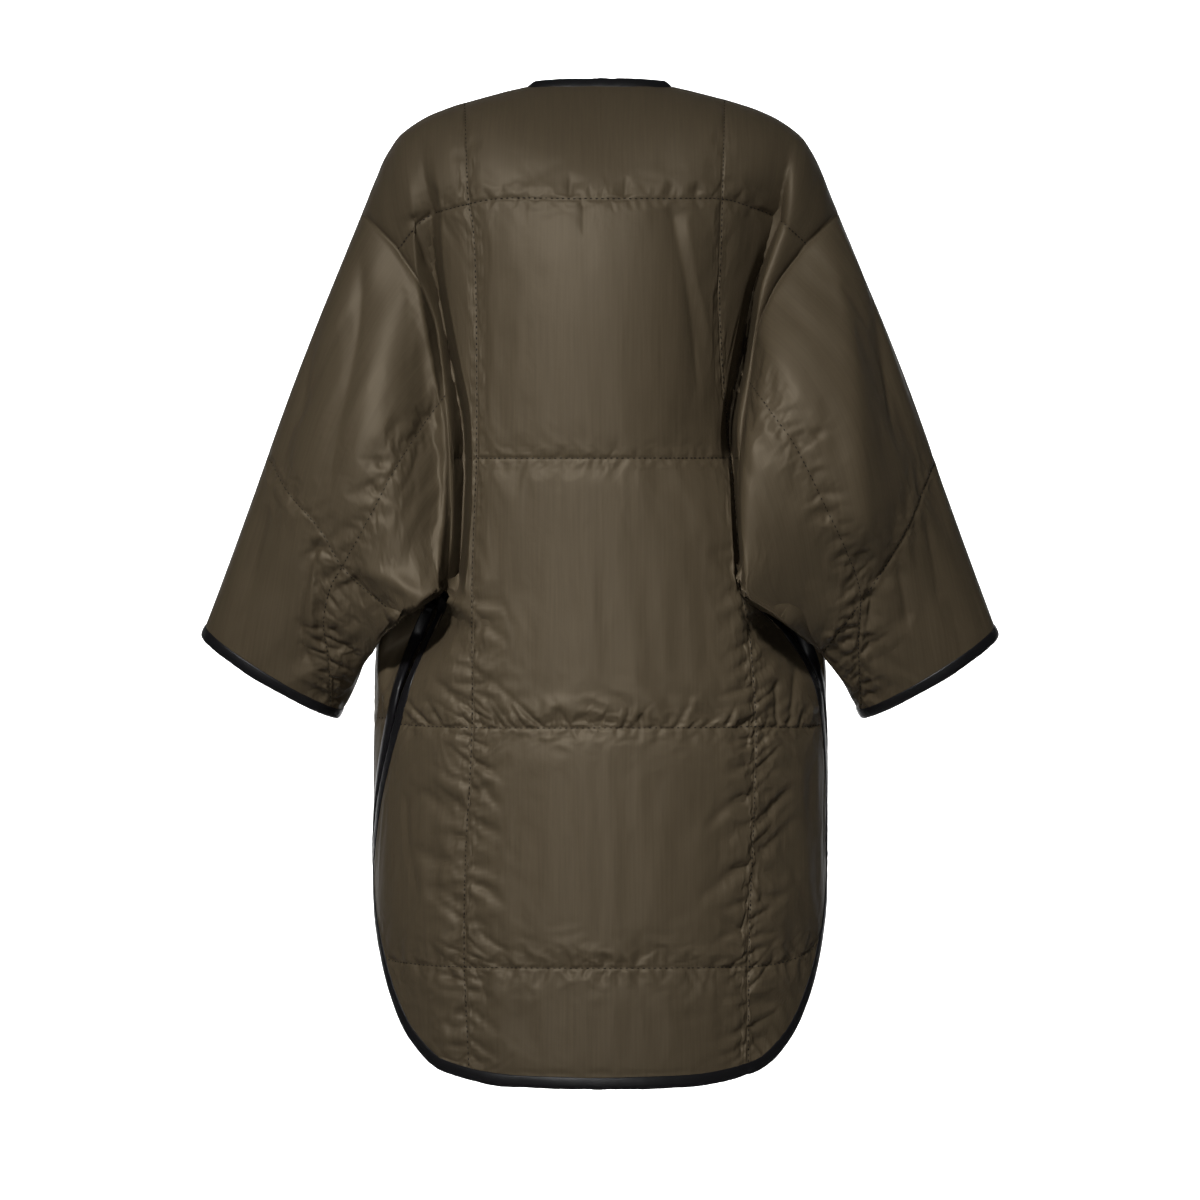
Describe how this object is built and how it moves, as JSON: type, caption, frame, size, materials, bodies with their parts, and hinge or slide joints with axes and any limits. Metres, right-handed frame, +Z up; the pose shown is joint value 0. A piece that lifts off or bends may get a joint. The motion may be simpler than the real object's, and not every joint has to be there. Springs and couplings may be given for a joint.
{
  "type": "quilted coat",
  "caption": "Collarless knee-length coat in lightly quilted nylon, wide dropped sleeves, side slits, rounded hem and narrow leather binding, in its hollow worn form.",
  "frame": {"origin": "on the coat's middle plane, level with the high points of the shoulders at the neck, where the wearer's shoulders hold it", "axes": "+Z up, the front faces -Y, the back faces +Y, the wearer's left is +X"},
  "size_m": [0.7974, 0.3257, 0.9947],
  "materials": {
    "quilted_nylon": "olive-brown nylon with a soft sheen, lightly wadded and stitched in large squares",
    "binding_leather": "smooth black leather, semi-gloss"
  },
  "bodies": {
    "root": {"back": "quilted_nylon", "front_left": "quilted_nylon", "front_right": "quilted_nylon", "sleeve_left": "quilted_nylon", "sleeve_right": "quilted_nylon", "neck_binding": "binding_leather", "back_binding": "binding_leather", "front_binding_left": "binding_leather", "front_binding_right": "binding_leather", "cuff_binding_left": "binding_leather", "cuff_binding_right": "binding_leather"}
  },
  "joints": []
}
